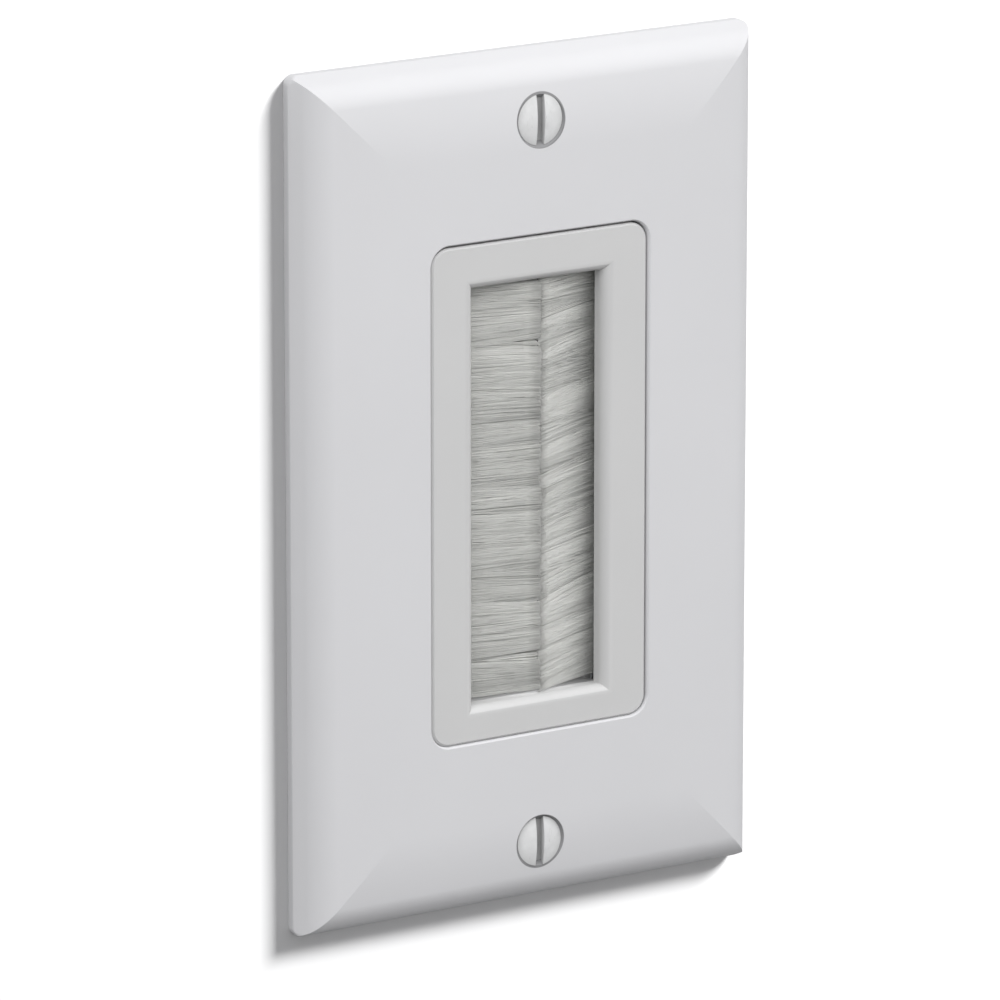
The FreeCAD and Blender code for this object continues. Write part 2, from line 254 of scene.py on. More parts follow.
metal = {
    "cloudDetail": 5, "streakDetail": 3, "dullAt": 0.3, "plainAt": 0.55, "brightAt": 0.75, "bright": 1.1,
    "smoother": 0.1, "rougher": 0.12, "streakStrength": 0.4,
}


def platedMetal(name, look):
    material, nodes, links, shader = newFinish(name)
    cloud = addNoise(nodes, links, look["cloudScale"], metal["cloudDetail"])
    streak = addNoise(nodes, links, look["streakScale"], metal["streakDetail"], look["streakStretch"])
    stops = [
        (metal["dullAt"], look["dull"]), (metal["plainAt"], look["colour"]),
        (metal["brightAt"], tint(look["colour"], metal["bright"])),
    ]
    links.new(addRamp(nodes, links, cloud, stops), shader.inputs["Base Color"])
    least, most = look["rough"] - metal["smoother"], look["rough"] + metal["rougher"]
    rough = addRange(nodes, links, streak, least, most)
    links.new(rough, shader.inputs["Roughness"])
    skin = addBump(nodes, links, streak, metal["streakStrength"], look["streakDepth"])
    links.new(skin, shader.inputs["Normal"])
    shader.inputs["Metallic"].default_value = 1.0
    return material


coat = {
    "cloudDetail": 4, "rubDetail": 4, "darkAt": 0.3, "dark": 0.95, "paleAt": 0.7, "pale": 1.03,
    "wholeAt": 0.66, "rubbedAt": 0.74, "smoother": 0.08, "rougher": 0.1, "rubStrength": 0.4,
}


def screwEnamel(name, look):
    material, nodes, links, shader = newFinish(name)
    cloud = addNoise(nodes, links, look["cloudScale"], coat["cloudDetail"])
    rub = addNoise(nodes, links, look["rubScale"], coat["rubDetail"], look["rubStretch"])
    colour = look["colour"]
    stops = [(coat["darkAt"], tint(colour, coat["dark"])), (coat["paleAt"], tint(colour, coat["pale"]))]
    painted = addRamp(nodes, links, cloud, stops)
    wear = [(coat["wholeAt"], (0, 0, 0)), (coat["rubbedAt"], (1, 1, 1))]           # fine rubs in the paint
    fleck = addRamp(nodes, links, rub, wear)
    mix = nodes.new("ShaderNodeMix")
    mix.data_type = "RGBA"
    links.new(fleck, mix.inputs["Factor"])
    links.new(painted, mix.inputs[6])                  # the colour sockets, by place
    mix.inputs[7].default_value = (*look["rubbed"], 1)
    # painted shade round the rim of each head
    ring, depth = addRingShade(nodes, links, look["ringShade"])
    # painted shade, darker from the top of the head down into the slot; it also darkens the shank below
    slotDepths = (look["slotTop"] * mm, look["slotFloor"] * mm)
    slotShade = addRange(nodes, links, depth, 1, look["slotShadeShare"], slotDepths)
    paint = addScale(nodes, links, addScale(nodes, links, mix.outputs[2], ring), slotShade)
    links.new(paint, shader.inputs["Base Color"])
    least, most = look["rough"] - coat["smoother"], look["rough"] + coat["rougher"]
    rough = addRange(nodes, links, rub, least, most)
    links.new(rough, shader.inputs["Roughness"])
    skin = addBump(nodes, links, rub, coat["rubStrength"], look["rubDepth"])
    links.new(skin, shader.inputs["Normal"])
    return material


fibre = {"pulpDetail": 6, "darkAt": 0.3, "plainAt": 0.6, "paleAt": 0.8, "pulpStrength": 0.6, "rough": 0.75}


def washerFibre(name, look):
    material, nodes, links, shader = newFinish(name)
    pulp = addNoise(nodes, links, look["pulpScale"], fibre["pulpDetail"], look["pulpStretch"])
    stops = [
        (fibre["darkAt"], look["dark"]), (fibre["plainAt"], look["colour"]), (fibre["paleAt"], look["pale"]),
    ]
    links.new(addRamp(nodes, links, pulp, stops), shader.inputs["Base Color"])
    skin = addBump(nodes, links, pulp, fibre["pulpStrength"], look["pulpDepth"])
    links.new(skin, shader.inputs["Normal"])
    shader.inputs["Roughness"].default_value = fibre["rough"]
    return material


drawn = {"streakDetail": 3, "smoother": 0.06, "rougher": 0.08, "refraction": 1.53}


def brushNylon(name, look):
    material, nodes, links, shader = newFinish(name)
    tone = nodes.new("ShaderNodeAttribute")
    tone.attribute_name = "filamentToneAndLight"                # one tone for each filament, with painted light and shade along it and across its clump
    streak = addNoise(nodes, links, look["streakScale"], drawn["streakDetail"], look["streakStretch"])
    total = nodes.new("ShaderNodeMath")
    total.operation = "MULTIPLY_ADD"
    total.inputs[1].default_value = look["streakShare"]
    links.new(streak, total.inputs[0])
    links.new(tone.outputs["Fac"], total.inputs[2])
    stops = [(0.0, look["shade"]), (0.5, look["colour"]), (1.0, look["bright"])]
    paint = addRamp(nodes, links, total.outputs["Value"], stops)
    links.new(paint, shader.inputs["Base Color"])
    least, most = look["rough"] - drawn["smoother"], look["rough"] + drawn["rougher"]
    rough = addRange(nodes, links, streak, least, most)
    links.new(rough, shader.inputs["Roughness"])
    shader.inputs["IOR"].default_value = drawn["refraction"]
    glow = nodes.new("ShaderNodeBsdfTranslucent")       # thin nylon lets light through
    links.new(paint, glow.inputs["Color"])
    mix = nodes.new("ShaderNodeMixShader")
    mix.inputs["Fac"].default_value = look["glow"]
    links.new(shader.outputs["BSDF"], mix.inputs[1])
    links.new(glow.outputs["BSDF"], mix.inputs[2])
    links.new(mix.outputs["Shader"], nodes["Material Output"].inputs["Surface"])
    return material


platePlastic = mouldedPlastic("platePlastic", {
    "colour": (0.612, 0.612, 0.624), "drift": 0.01, "rough": 0.52, "gloss": 0.22,
    "cloudScale": 45, "grainScale": 5200, "grainDepth": 0.0000007,
    "peelScale": 420, "peelDepth": 0.000008,
    "ringShade": {"spacing": 96.84, "shadeFullAt": 3.66, "shadeNoneAt": 3.74, "share": 0.4},
})
insertPlastic = mouldedPlastic("insertPlastic", {
    "colour": (0.548, 0.548, 0.546), "drift": 0.012, "rough": 0.5, "gloss": 0.4,
    "cloudScale": 70, "grainScale": 4600, "grainDepth": 0.000001,
    "peelScale": 520, "peelDepth": 0.000008,
})
enamel = screwEnamel("screwEnamel", {
    "colour": (0.655, 0.659, 0.659), "rubbed": (0.5, 0.5, 0.49), "rough": 0.34,
    "cloudScale": 900, "rubScale": 1500, "rubStretch": (4, 1, 0.6), "rubDepth": 0.00001,
    "ringShade": {"spacing": 96.84, "shadeFullAt": 3.38, "shadeNoneAt": 3.3, "share": 0.5},
    "slotTop": -6.1, "slotFloor": -5.5, "slotShadeShare": 0.55,
})
zincPlate = platedMetal("zincPlate", {
    "colour": (0.7, 0.7, 0.665), "dull": (0.58, 0.58, 0.55), "rough": 0.36,
    "cloudScale": 900, "streakScale": 1400, "streakStretch": (1, 3, 1), "streakDepth": 0.00001,
})
channelMetal = platedMetal("channelMetal", {
    "colour": (0.7, 0.71, 0.72), "dull": (0.52, 0.53, 0.54), "rough": 0.36,
    "cloudScale": 260, "streakScale": 3200, "streakStretch": (1, 1, 0.03), "streakDepth": 0.000012,
})
wireSteel = platedMetal("wireSteel", {
    "colour": (0.58, 0.58, 0.58), "dull": (0.4, 0.4, 0.4), "rough": 0.4,
    "cloudScale": 600, "streakScale": 5000, "streakStretch": (1, 1, 0.05), "streakDepth": 0.000006,
})
brownFibre = washerFibre("brownFibre", {
    "colour": (0.19, 0.1, 0.055), "dark": (0.13, 0.066, 0.036), "pale": (0.27, 0.16, 0.095),
    "pulpScale": 1500, "pulpStretch": (1, 1, 0.35), "pulpDepth": 0.00003,
})
nylon = brushNylon("brushNylon", {
    "colour": (0.87, 0.873, 0.85), "shade": (0.58, 0.583, 0.565), "bright": (0.97, 0.97, 0.95),
    "rough": 0.34, "glow": 0.45,
    "streakScale": 900, "streakStretch": (0.25, 0.25, 2.4), "streakShare": 0.12,
})
print("finishes made:", len(bpy.data.materials))


# Moulded and rolled pieces, each a merged and smoothed copy of its solid

moulded = {
    "wall_plate": ("wallPlate", platePlastic, "plate_plastic", 24),
    "brush_insert": ("brushInsert", insertPlastic, "insert_plastic", 30),
    "rear_retainer": ("rearRetainer", insertPlastic, "insert_plastic", 30),
    "screw_washers": ("screwWashers", brownFibre, "fibre_washer", 30),
    "left_brush_channel": ("leftBrushChannel", channelMetal, "channel_metal", 20),
    "right_brush_channel": ("rightBrushChannel", channelMetal, "channel_metal", 20),
    "left_core_wire": ("leftCoreWire", wireSteel, "core_wire", 30),
    "right_core_wire": ("rightCoreWire", wireSteel, "core_wire", 30),
}
smoothing = {"merge": 0.0005, "flatWithin": 0.5, "skew": 170}
crown = {
    "width": 12.5, "depth": 6.3, "edge": 1.2, "shoulderAngle": 9.0, "edgeAngle": 65.0, "edgeRadius": 4.5,
    "near": 0.08, "facing": 0.35,
}


def crownCurve():                                      # end slopes, shoulder radius, reach of the arcs
    bend, slope = math.radians(crown["shoulderAngle"]), math.radians(crown["edgeAngle"])
    radius = crown["edgeRadius"]
    arcWidth = radius * (math.sin(slope) - math.sin(bend))
    run = crown["width"] - arcWidth
    fall = crown["depth"] - crown["edge"] - radius * (math.cos(bend) - math.cos(slope))
    cross = math.sin(bend) * math.sin(slope) - math.cos(slope) * (1 - math.cos(bend))
    shoulder = (run * math.sin(slope) - fall * math.cos(slope)) / cross
    return bend, slope, shoulder, shoulder * math.sin(bend), arcWidth


def crownAt(across):                                   # slope and fall, going outward from the flat
    bend, slope, shoulder, first, arcWidth = crownCurve()
    radius = crown["edgeRadius"]
    if across <= first:
        angle = math.asin(max(0.0, across) / shoulder)
        return angle, shoulder * (1 - math.cos(angle))
    angle = math.asin(min(math.sin(slope), math.sin(bend) + (across - first) / radius))
    fall = shoulder * (1 - math.cos(bend)) + radius * (math.cos(bend) - math.cos(angle))
    return angle, fall + max(0.0, across - first - arcWidth) * math.tan(slope)


def crownPlace(place):                                 # distances outward from the flat, both ways
    half = (cadBox[1][0] / mm, cadBox[1][2] / mm)
    flat = [size - crown["width"] for size in half]
    return abs(place.x) / mm - flat[0], abs(place.z) / mm - flat[1]


def onCrown(place):
    return abs(place.y / mm + crown["depth"] - crownAt(max(crownPlace(place)))[1]) < crown["near"]


def crownNormal(place, onSide):                        # true normal of the arcs, on a side or an end
    across, up = crownPlace(place)
    angle = crownAt(across if onSide else up)[0]
    if onSide:
        return math.copysign(math.sin(angle), place.x), -math.cos(angle), 0
    return 0, -math.cos(angle), math.copysign(math.sin(angle), place.z)


def smoothCrown(piece, normals):                       # no facet of the arcs shows in the gloss
    mesh = piece.data
    for face in mesh.polygons:
        corners = [mesh.vertices[index].co for index in face.vertices]
        if face.normal.y < -crown["facing"] and all(onCrown(corner) for corner in corners):
            across, up = crownPlace(face.center)
            for loop, corner in zip(face.loop_indices, corners):
                normals[loop] = crownNormal(corner, across > up)


def smoothCopy(nodeName):
    name, material, slotName, angle = moulded[nodeName]
    piece = bpy.data.objects.new(name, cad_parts[nodeName].data.copy())
    bpy.context.collection.objects.link(piece)
    makeActive(piece)
    editMode()
    bpy.ops.mesh.select_all(action="SELECT")
    bpy.ops.mesh.remove_doubles(threshold=smoothing["merge"] * mm)
    flat, skew = math.radians(smoothing["flatWithin"]), math.radians(smoothing["skew"])
    bpy.ops.mesh.tris_convert_to_quads(face_threshold=flat, shape_threshold=skew)
    objectMode()
    normals = weighNormals(piece, angle)
    if nodeName == "wall_plate":
        smoothCrown(piece, normals)
    piece.data.normals_split_custom_set(normals)
    dress(piece, material, nodeName)
    return piece


for nodeName in moulded:
    smoothCopy(nodeName)
print("moulded pieces made:", len(moulded))


# Screws: a turned head, a sawn slot and a rolled thread

plateScrew = {
    "rim": -5.9, "headRadius": 3.4, "dome": 0.4, "domeSteps": 8, "neckDepth": 1.8953,
    "tip": 7.1, "tipChamfer": 0.5, "runOut": 0.3, "threadGap": 0.1,
    "slotWidth": 1.15, "slotFloor": -5.25, "spacing": 96.84, "threadRadius": 1.7525, "coreRadius": 1.33,
}
boxScrew = {
    "rim": -1.5, "headRadius": 3.0, "headHeight": 1.5, "edgeRound": 0.45, "edgeSteps": 5, "neckRadius": 1.5,
    "threadStart": 1.0, "tip": 20.5, "tipChamfer": 0.5, "runOut": 0.15, "threadGap": 0.05,
    "slotWidth": 1.15, "slotFloor": -2.2, "spacing": 83.34, "threadRadius": 1.7525, "coreRadius": 1.33,
}
thread = {"pitch": 0.79375, "steps": 20, "crest": 0.1, "foot": 0.66, "bite": 0.08}
turning = {"steps": 48, "merge": 0.002, "smoothAngle": 35}
slotEdge = {"width": 0.07, "segments": 2, "angle": 50}


def drawProfile(name, points):                         # a line in X and Y, extruded from one point
    deselectAll()
    bpy.ops.mesh.primitive_plane_add(size=mm)
    piece = bpy.context.object
    piece.name = name
    editMode()
    bpy.ops.mesh.select_all(action="SELECT")
    bpy.ops.mesh.merge(type="CENTER")
    bpy.ops.transform.translate(value=(points[0][0] * mm, points[0][1] * mm, 0))
    for here, after in zip(points, points[1:]):
        step = ((after[0] - here[0]) * mm, (after[1] - here[1]) * mm, 0)
        bpy.ops.mesh.extrude_vertices_move(TRANSFORM_OT_translate={"value": step})
    return piece


def turnOnLathe(name, points):                         # spins a profile about the depth axis
    piece = drawProfile(name, points)
    bpy.ops.mesh.select_all(action="SELECT")
    bpy.ops.mesh.spin(steps=turning["steps"], angle=math.tau, center=(0, 0, 0), axis=(0, 1, 0))
    bpy.ops.mesh.select_all(action="SELECT")
    bpy.ops.mesh.remove_doubles(threshold=turning["merge"] * mm)
    bpy.ops.mesh.normals_make_consistent(inside=False)
    objectMode()
    return piece


def sawSlot(piece, look, front):                       # cuts the driver slot and breaks its edges
    deselectAll()
    depth = look["slotFloor"] - front
    bpy.ops.mesh.primitive_cube_add(size=1)
    cutter = bpy.context.object
    size = (look["slotWidth"] * mm, 2 * depth * mm, 4 * look["headRadius"] * mm)
    cutter.data.transform(Matrix.Diagonal((*size, 1)))
    cutter.data.transform(Matrix.Translation((0, front * mm, 0)))
    applyModifier(piece, "BOOLEAN", {"object": cutter, "operation": "DIFFERENCE", "solver": "EXACT"})
    bpy.data.objects.remove(cutter)
    applyModifier(piece, "BEVEL", {
        "width": slotEdge["width"] * mm, "segments": slotEdge["segments"],
        "limit_method": "ANGLE", "angle_limit": math.radians(slotEdge["angle"]),
    })


def rollThread(look, start, end):                      # one closed ridge, wound round the core
    pitch = thread["pitch"]
    low, high = look["coreRadius"] - thread["bite"], look["threadRadius"]
    foot, crest = thread["foot"] / 2, thread["crest"] / 2
    ridge = drawProfile("threadRidge", [(low, -foot), (high, -crest), (high, crest), (low, foot)])
    bpy.ops.mesh.select_all(action="SELECT")
    bpy.ops.mesh.edge_face_add()
    objectMode()
    ridge.data.transform(Matrix.Translation((0, (start + foot) * mm, 0)))
    turns = int((end - start - 2 * foot) / pitch)
    applyModifier(ridge, "SCREW", {
        "axis": "Y", "angle": math.tau * turns, "screw_offset": pitch * turns * mm, "iterations": 1,
        "steps": thread["steps"] * turns, "render_steps": thread["steps"] * turns,
        "use_merge_vertices": False,
    })
    editMode()
    bpy.ops.mesh.select_all(action="SELECT")
    bpy.ops.mesh.fill_holes(sides=4)
    bpy.ops.mesh.select_all(action="SELECT")
    bpy.ops.mesh.remove_doubles(threshold=smoothing["merge"] * mm)
    bpy.ops.mesh.normals_make_consistent(inside=False)
    objectMode()
    return ridge


def arcPoints(radius, height, rim, count):             # dome of an oval head, from its middle to its rim
    ball = (radius ** 2 + height ** 2) / (2 * height)
    reach = math.asin(radius / ball)
    angles = [reach * number / count for number in range(count + 1)]
    return [(ball * math.sin(a), rim - height + ball * (1 - math.cos(a))) for a in angles]


def makePlateScrew():
    look = plateScrew
    top = look["rim"] - look["dome"]
    neck = look["rim"] + look["neckDepth"]
    tip, chamfer, core = look["tip"], look["tipChamfer"], look["coreRadius"]
    profile = arcPoints(look["headRadius"], look["dome"], look["rim"], look["domeSteps"])
    profile += [(look["threadRadius"], neck), (core, neck + look["runOut"])]
    profile += [(core, tip - chamfer), (core - chamfer, tip), (0, tip)]
    screw = turnOnLathe("plateScrews", profile)
    sawSlot(screw, look, top)
    ridge = rollThread(look, neck + look["threadGap"], tip - chamfer / 2)
    return joinPieces([screw, ridge], "plateScrews")


def makeBoxScrew():
    look = boxScrew
    top = look["rim"] - look["headHeight"]
    edge, radius = look["edgeRound"], look["headRadius"]
    tip, chamfer, core = look["tip"], look["tipChamfer"], look["coreRadius"]
    start, neck = look["threadStart"], look["neckRadius"]
    profile = [(0, top)]
    for number in range(look["edgeSteps"] + 1):
        turn = math.radians(90 / look["edgeSteps"] * number)
        profile.append((radius - edge + edge * math.sin(turn), top + edge - edge * math.cos(turn)))
    profile += [(radius, look["rim"]), (neck, look["rim"]), (neck, start)]
    profile += [(core, start + look["runOut"]), (core, tip - chamfer), (core - chamfer, tip), (0, tip)]
    screw = turnOnLathe("boxScrews", profile)
    sawSlot(screw, look, top)
    ridge = rollThread(look, start + look["threadGap"], tip - chamfer / 2)
    return joinPieces([screw, ridge], "boxScrews")


def setScrewPair(screw, look, material, nodeName):
    half = look["spacing"] / 2 * mm
    twin = copyOf(screw, (0, 0, -half))
    screw.data.transform(Matrix.Translation((0, 0, half)))
    pair = joinPieces([screw, twin], screw.name)
    pair.data.normals_split_custom_set(weighNormals(pair, turning["smoothAngle"]))
    dress(pair, material, nodeName)


setScrewPair(makePlateScrew(), plateScrew, enamel, "plate_screws")
setScrewPair(makeBoxScrew(), boxScrew, zincPlate, "box_screws")
print("screws made")


# Brush strips: fine nylon filaments in clumps, over a bed of packed bundles

brush = {
    "tilt": 12.0, "mouthX": 11.6781, "mouthY": -1.6077, "middle": -0.7, "half": 27.75, "rootDepth": 1.6,
    "radius": 0.07, "tipTaper": 0.72, "tipFrom": 0.99, "sides": 3, "rings": 6, "smoothAngle": 130,
    "bedCount": 250, "bedRadius": 0.36, "bedShort": 0.3, "bedTone": -0.02,
    "layers": 2, "frontShare": 0.72, "frontFloor": 0.34, "frontTop": 0.52, "frontCrowd": 1.3,
    "clumpPitch": 3.2, "clumpWidths": (0.45, 1.6), "clumpPull": 0.3, "clumpPulls": (0.4, 1.3),
    "clumpLean": 0.3, "clumpLift": 0.06, "clumpTone": 0.11, "clumpPaintedShade": 0.1,
    "strayLean": 0.08, "strayLift": 0.015, "strayTone": 0.045, "strayShort": 0.6,
    "tone": 0.44, "ragged": 0.24, "droopLeast": 0.2, "droopRun": 7,
    "bendPower": 1.5, "tipThin": 0.2, "rootPaintedLightEnd": 0.62, "tipPaintedLightPower": 1.4,
}
strips = {
    "leftBristles": {
        "side": -1, "reach": 12.96, "count": 3900, "droop": -0.05, "endRise": 0.05, "tipLift": 0.05,
        "rootPaintedLight": 0.28, "tipPaintedLight": -0.04, "node": "left_bristles", "seed": 41,
    },
    "rightBristles": {
        "side": 1, "reach": 11.2, "count": 3600, "droop": 1.2, "endRise": 0.6, "tipLift": 0.15,
        "rootPaintedLight": -0.5, "tipPaintedLight": 0.16, "node": "right_bristles", "seed": 67,
    },
}


def modelFilament():                                   # one thin tapered rod along X, from 0 to 1
    deselectAll()
    bpy.ops.mesh.primitive_cylinder_add(vertices=brush["sides"], radius=1, depth=1, end_fill_type="NGON")
    rod = bpy.context.object
    turned = Matrix.Rotation(math.radians(90), 4, "Y")
    rod.data.transform(Matrix.Translation((0.5, 0, 0)) @ turned)
    editMode("EDGE")
    bpy.ops.mesh.select_all(action="SELECT")
    for ring in range(1, brush["rings"]):
        share = ring / brush["rings"]
        bpy.ops.mesh.bisect(plane_co=(share, 0, 0), plane_no=(1, 0, 0))
        bpy.ops.mesh.select_all(action="SELECT")
    bpy.ops.mesh.normals_make_consistent(inside=False)
    pickVerts(rod, lambda place: place.x > brush["tipFrom"])
    bpy.ops.transform.resize(value=(1, brush["tipTaper"], brush["tipTaper"]), center_override=(1, 0, 0))
    objectMode()
    return rod


def clumpTable(chance, half):                          # edges and habits of the clumps in one layer
    clumps = []
    start = -half - chance.uniform(0, brush["clumpPitch"])
    while start < half:
        width = brush["clumpPitch"] * chance.uniform(*brush["clumpWidths"])
        clumps.append({
            "start": start, "middle": start + width / 2,
            "pull": brush["clumpPull"] * chance.uniform(*brush["clumpPulls"]),
            "lean": chance.gauss(0, brush["clumpLean"]), "lift": chance.gauss(0, brush["clumpLift"]),
            "tone": chance.gauss(0, brush["clumpTone"]), "short": chance.uniform(0, brush["ragged"]),
        })
        start += width
    return clumps


def droopAt(look, root):                               # tips sag, less so under the window's top
    return look["droop"] * min(1.0, brush["droopLeast"] + (brush["half"] - root) / brush["droopRun"])


def pathOf(look, chance, clump, root, rise, radius):   # one filament's middle line and its shade
    half = brush["half"] - radius
    root = half - (half - root) * (1 - look["endRise"] / (2 * half))   # the lowest sit above the sill
    pull = (clump["middle"] - root) * clump["pull"]
    tip = root + pull + clump["lean"] + chance.gauss(0, brush["strayLean"]) - droopAt(look, root)
    lift = clump["lift"] + look["tipLift"] + chance.gauss(0, brush["strayLift"])
    length = look["reach"] - clump["short"] - abs(chance.gauss(0, brush["ragged"] * brush["strayShort"]))
    paintedShadeAcross = brush["clumpPaintedShade"] * (root - clump["middle"])        # painted shade, darker along its lower edge
    tone = brush["tone"] + clump["tone"] + paintedShadeAcross + chance.gauss(0, brush["strayTone"])
    return root, max(-half, min(half, tip)), rise, lift, length, tone, radius


def filamentPaths(look):
    chance = random.Random(look["seed"])
    half = brush["half"]
    layers = [clumpTable(chance, half) for number in range(brush["layers"])]
    rows = []
    for number in range(brush["bedCount"]):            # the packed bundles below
        root = -half + 2 * half * (number + 0.5) / brush["bedCount"]
        straight = {"middle": root, "lean": 0, "lift": 0}
        plain = {"tone": brush["bedTone"], "short": brush["bedShort"]}
        clump = {**layers[0][0], **straight, **plain}
        rows.append(pathOf(look, chance, clump, root, 0, brush["bedRadius"]))
    for number in range(look["count"]):                # the fine filaments in front of them and behind
        layer = number % brush["layers"]
        front = chance.random() < brush["frontShare"]
        floor = brush["frontFloor"]
        rise = floor + (brush["frontTop"] - floor) * chance.random() ** brush["frontCrowd"]
        root = chance.uniform(-half, half)
        clump = [entry for entry in layers[layer] if entry["start"] <= root][-1]
        rows.append(pathOf(look, chance, clump, root, rise if front else -rise, brush["radius"]))
    return np.array(rows)


def plantStrip(name, rod):
    look = strips[name]
    shape = np.array([vert.co for vert in rod.data.vertices])
    faces = [list(face.vertices) for face in rod.data.polygons]
    rows = filamentPaths(look)
    share = shape[:, 0][None, :]
    root, tip, rise, lift, length, tone, radius = (column[:, None] for column in rows.T)
    along = -brush["rootDepth"] + share * (length + brush["rootDepth"])
    ease = share ** brush["bendPower"]
    strand = root + (tip - root) * ease + shape[:, 2][None, :] * radius
    across = rise * (1 - brush["tipThin"] * ease) + lift * ease + shape[:, 1][None, :] * radius
    tilt = math.radians(brush["tilt"])
    x = look["side"] * (brush["mouthX"] - along * math.cos(tilt) - across * math.sin(tilt))
    y = brush["mouthY"] - along * math.sin(tilt) - across * math.cos(tilt)
    z = brush["middle"] + strand
    points = np.stack([x, y, z], axis=2).reshape(-1, 3) * mm
    reach = np.clip(along / look["reach"], 0, 1)
    # painted light and shade along each filament: the right strip darker towards its roots and lighter at
    # its tips, the left lighter at its roots
    nearRoot = np.clip(1 - reach / brush["rootPaintedLightEnd"], 0, 1)
    shades = tone + look["rootPaintedLight"] * nearRoot + look["tipPaintedLight"] * reach ** brush["tipPaintedLightPower"]
    stride = len(shape)
    starts = range(0, stride * len(rows), stride)
    allFaces = [[corner + start for corner in face] for start in starts for face in faces]
    mesh = bpy.data.meshes.new(name)
    mesh.from_pydata(points.tolist(), [], allFaces)
    shade = mesh.attributes.new("filamentToneAndLight", "FLOAT", "POINT")
    shade.data.foreach_set("value", np.clip(shades, 0, 1).reshape(-1).astype(np.float32))
    piece = bpy.data.objects.new(name, mesh)
    bpy.context.collection.objects.link(piece)
    makeActive(piece)
    editMode()
    bpy.ops.mesh.select_all(action="SELECT")
    bpy.ops.mesh.normals_make_consistent(inside=False)
    objectMode()
    bpy.ops.object.shade_smooth_by_angle(angle=math.radians(brush["smoothAngle"]))
    dress(piece, nylon, look["node"])
    return len(rows)


rod = modelFilament()
for name in strips:
    print(name, "has", plantStrip(name, rod), "filaments")
bpy.data.objects.remove(rod)


# Stage: a wall with a cut-out behind the plate, a sheet of painted shade for the dark of the wall box, and a
# pale floor

stage = {
    "wallMargin": 2.0, "cutOut": (0.06905, 0.1135), "wallBehind": 0.00002,
    "wallColour": 0.45, "wallSeen": 0.8,
    "darkSize": (0.028, 0.06), "darkDepth": 0.0012, "darkSeen": 0.02,
    "floorSize": 4.0, "floorDrop": 0.32, "floorColour": 0.2, "floorSeen": 0.4, "floorGlow": 0.62,
}


def oneSided(name, seen, unseen, glow=0.0):            # seen from its front only
    material, nodes, links, shader = newFinish(name)
    nodes.remove(shader)
    result = nodes["Material Output"]
    side = nodes.new("ShaderNodeNewGeometry")
    path = nodes.new("ShaderNodeLightPath")
    clear = nodes.new("ShaderNodeBsdfTransparent")
    toCamera = nodes.new("ShaderNodeBsdfDiffuse")
    toCamera.inputs["Color"].default_value = (seen, seen, seen, 1)
    shown = toCamera.outputs["BSDF"]
    if glow:                                           # a pale ground that keeps its shadows
        light = nodes.new("ShaderNodeEmission")
        light.inputs["Strength"].default_value = glow
        both = nodes.new("ShaderNodeAddShader")
        links.new(shown, both.inputs[0])
        links.new(light.outputs["Emission"], both.inputs[1])
        shown = both.outputs["Shader"]
    other = clear
    if unseen:
        other = nodes.new("ShaderNodeBsdfDiffuse")
        other.inputs["Color"].default_value = (unseen, unseen, unseen, 1)
    byRay = nodes.new("ShaderNodeMixShader")
    bySide = nodes.new("ShaderNodeMixShader")
    links.new(path.outputs["Is Camera Ray"], byRay.inputs["Fac"])
    links.new(other.outputs["BSDF"], byRay.inputs[1])
    links.new(shown, byRay.inputs[2])
    links.new(side.outputs["Backfacing"], bySide.inputs["Fac"])
    links.new(byRay.outputs["Shader"], bySide.inputs[1])
    links.new(clear.outputs["BSDF"], bySide.inputs[2])
    links.new(bySide.outputs["Shader"], result.inputs["Surface"])
    return material


def standUp(name, width, height, depth):               # an upright sheet that faces the room
    deselectAll()
    bpy.ops.mesh.primitive_plane_add(size=1, rotation=(math.radians(90), 0, 0), location=(0, depth, 0))
    sheet = bpy.context.object
    sheet.name = name
    sheet.scale = (width, height, 1)
    bpy.ops.object.transform_apply(location=True, rotation=True, scale=True)
    return sheet


def makeWall():
    wide, high = stage["cutOut"]
    margin = stage["wallMargin"]
    wall = standUp("stageWall", wide + 2 * margin, high + 2 * margin, stage["wallBehind"])
    editMode("FACE")
    bpy.ops.mesh.select_all(action="SELECT")
    bpy.ops.mesh.inset(thickness=margin)
    bpy.ops.mesh.delete(type="FACE")                   # the cut-out, hidden by the plate
    objectMode()
    wall.data.materials.append(oneSided("stageWallPaint", stage["wallSeen"], stage["wallColour"]))
    return wall


def makeFloor():
    deselectAll()
    bpy.ops.mesh.primitive_plane_add(size=stage["floorSize"], location=(0, 0, -stage["floorDrop"]))
    floor = bpy.context.object
    floor.name = "stageFloor"
    bpy.ops.object.transform_apply(location=True)
    paint = oneSided("stageFloorPaint", stage["floorSeen"], stage["floorColour"], stage["floorGlow"])
    floor.data.materials.append(paint)
    return floor


def makeCavityShadeSheet():
    # a sheet only the camera sees: painted shade for the inside of the wall box, which light passes through
    dark = standUp("stageCavityShade", *stage["darkSize"], stage["darkDepth"])
    dark.data.materials.append(oneSided("stageCavityShadeDark", stage["darkSeen"], None))
    return dark


wall = makeWall()
makeFloor()
makeCavityShadeSheet()
print("stage set")


# Camera, at the photograph's viewing angle

view = {
    "yaw": 32.3, "rise": 14.7, "distance": 1.1, "aimRight": -0.002, "aimUp": -0.0033,
    "lens": 303.35, "sensor": 36, "nearest": 0.05, "farthest": 20,
}


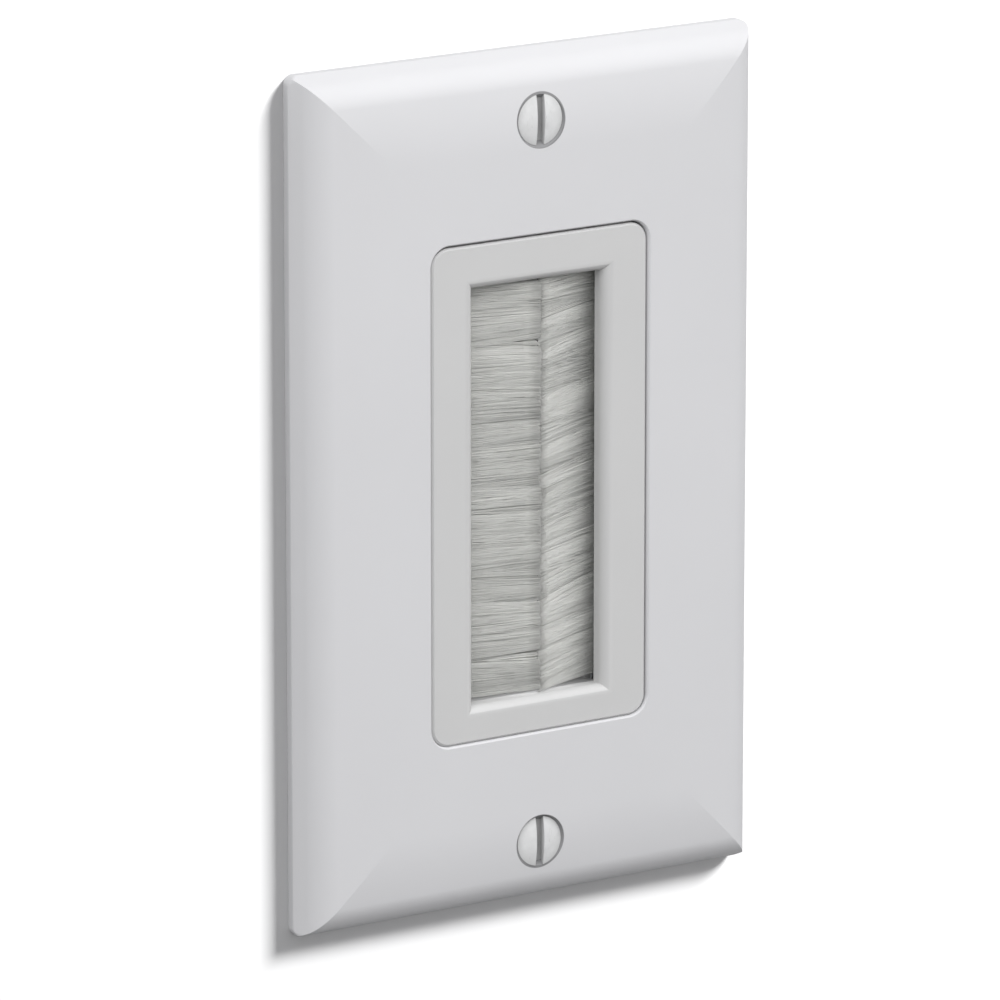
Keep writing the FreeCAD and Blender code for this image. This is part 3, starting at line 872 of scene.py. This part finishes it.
def placeCamera():
    yaw, rise = math.radians(view["yaw"]), math.radians(view["rise"])
    ahead = Vector((math.sin(yaw) * math.cos(rise), math.cos(yaw) * math.cos(rise), -math.sin(rise)))
    right = Vector((math.cos(yaw), -math.sin(yaw), 0))
    above = right.cross(ahead)
    place = right * view["aimRight"] + above * view["aimUp"] - ahead * view["distance"]
    bpy.ops.object.camera_add(location=place)
    camera = bpy.context.object
    camera.rotation_euler = Matrix((right, above, -ahead)).transposed().to_euler()
    camera.data.lens = view["lens"]
    camera.data.sensor_width = view["sensor"]
    camera.data.clip_start = view["nearest"]
    camera.data.clip_end = view["farthest"]
    bpy.context.scene.camera = camera


placeCamera()


# Soft studio light

lamps = {
    "keyRight": {"place": (0.732, -0.798, 0.771), "size": (1.2, 1.2), "power": 12.3, "wall": "EXCLUDE"},
    "keyLeft": {"place": (-0.732, -0.798, 0.771), "size": (1.2, 1.2), "power": 12.2, "wall": "EXCLUDE"},
    "wallWash": {"place": (0.86, -0.844, 0.87), "size": (0.36, 0.36), "power": 41.0, "wall": "INCLUDE"},
    "rearFill": {"place": (0.5, 1.3, 0.15), "size": (1.0, 1.0), "power": 9.0, "wall": "EXCLUDE"},
}
surround = {"background": (1, 1, 1), "ambient": (1, 1, 1.02), "ambientStrength": 0.5}


def hangLamp(name, look):
    bpy.ops.object.light_add(type="AREA", location=look["place"])
    lamp = bpy.context.object
    lamp.name = name
    lamp.data.shape = "RECTANGLE"
    lamp.data.size, lamp.data.size_y = look["size"]
    lamp.data.energy = look["power"]
    lamp.rotation_euler = Vector(look["place"]).to_track_quat("Z", "Y").to_euler()
    # the wall has a lamp of its own, and the part has the others
    lit = bpy.data.collections.new(name + "Reach")
    lit.objects.link(wall)
    lamp.light_linking.receiver_collection = lit
    lit.collection_objects[0].light_linking.link_state = look["wall"]


for name, look in lamps.items():
    hangLamp(name, look)


def paintSurround():
    world = bpy.data.worlds.new("studioSurround")
    bpy.context.scene.world = world
    world.use_nodes = True
    nodes, links = world.node_tree.nodes, world.node_tree.links
    ambient = nodes["Background"]
    ambient.inputs["Color"].default_value = (*surround["ambient"], 1)
    ambient.inputs["Strength"].default_value = surround["ambientStrength"]
    seen = nodes.new("ShaderNodeBackground")
    seen.inputs["Color"].default_value = (*surround["background"], 1)
    path = nodes.new("ShaderNodeLightPath")
    direct = nodes.new("ShaderNodeMath")
    direct.operation = "MAXIMUM"
    either = nodes.new("ShaderNodeMath")
    either.operation = "MAXIMUM"
    mix = nodes.new("ShaderNodeMixShader")
    links.new(path.outputs["Is Camera Ray"], direct.inputs[0])
    links.new(path.outputs["Is Glossy Ray"], direct.inputs[1])
    links.new(direct.outputs["Value"], either.inputs[0])
    links.new(path.outputs["Is Transmission Ray"], either.inputs[1])
    links.new(either.outputs["Value"], mix.inputs["Fac"])
    links.new(ambient.outputs["Background"], mix.inputs[1])
    links.new(seen.outputs["Background"], mix.inputs[2])
    links.new(mix.outputs["Shader"], nodes["World Output"].inputs["Surface"])


paintSurround()
bpy.context.scene.view_settings.view_transform = "Standard"
print("camera and light set")
